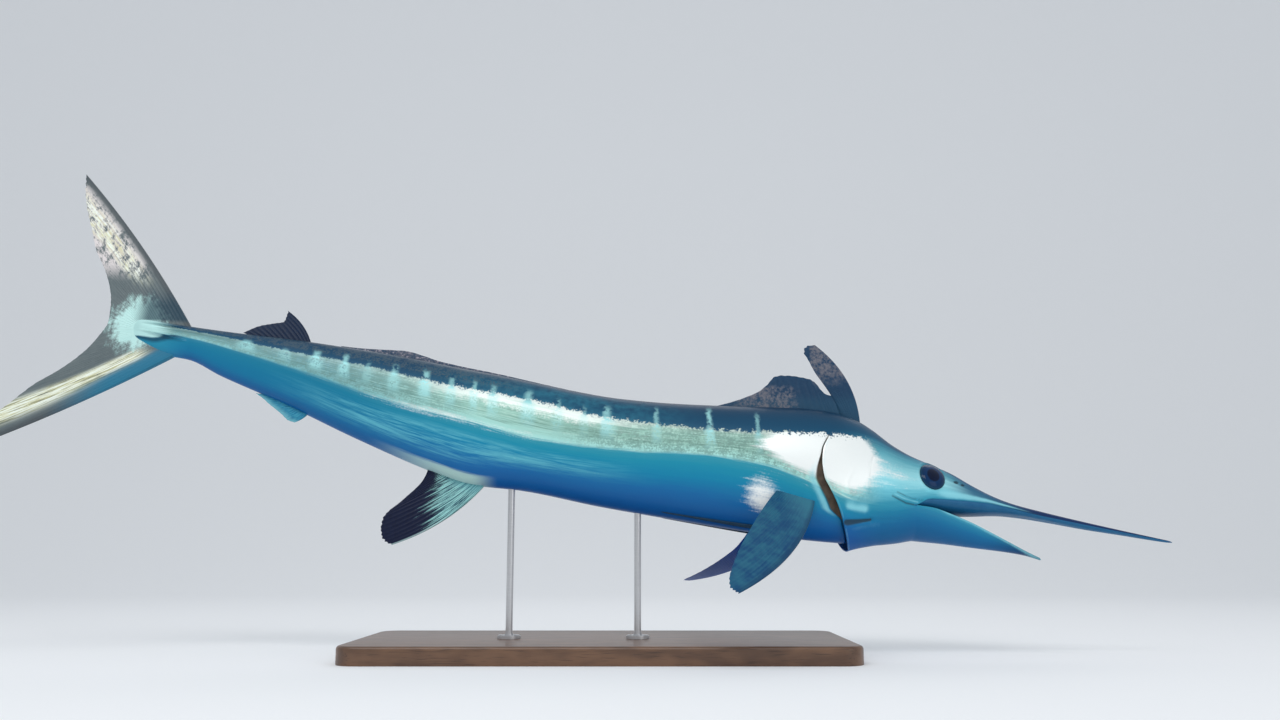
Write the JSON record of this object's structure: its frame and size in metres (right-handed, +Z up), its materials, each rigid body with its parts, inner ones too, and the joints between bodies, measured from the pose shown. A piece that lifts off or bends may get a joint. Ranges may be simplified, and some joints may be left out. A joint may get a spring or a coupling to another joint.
{
  "type": "white marlin",
  "caption": "Life-size white marlin swimming nose down with its mouth open, banked on two rods above a flat wooden base",
  "frame": {"origin": "centre of the stand's flat underside", "axes": "+X runs towards the bill, +Y towards the fish's left side, +Z up"},
  "size_m": [2.1108, 0.5086, 0.8904],
  "materials": {
    "skin": "wet silver-blue fish skin, dark slate back",
    "fin": "navy-black fin membrane with bronze mottling",
    "eye": "dark polished ball",
    "plinth": "dark stained and varnished",
    "rod": "brushed"
  },
  "bodies": {
    "root": {"head": "skin", "lower_jaw": "skin", "gill_cover_right": "skin", "gill_cover_left": "skin", "torso_front": "skin", "torso_rear": "skin", "tail": "skin", "dorsal_fin_first": "fin", "dorsal_fin_second": "fin", "anal_fin_first": "fin", "anal_fin_second": "fin", "pectoral_fin_right": "fin", "pectoral_fin_left": "fin", "pelvic_fin_right": "fin", "pelvic_fin_left": "fin", "caudal_fin_upper": "fin", "caudal_fin_lower": "fin", "eye_right": "eye", "eye_left": "eye", "stand_base": "plinth", "stand_rod_front": "rod", "stand_rod_rear": "rod"}
  },
  "joints": []
}
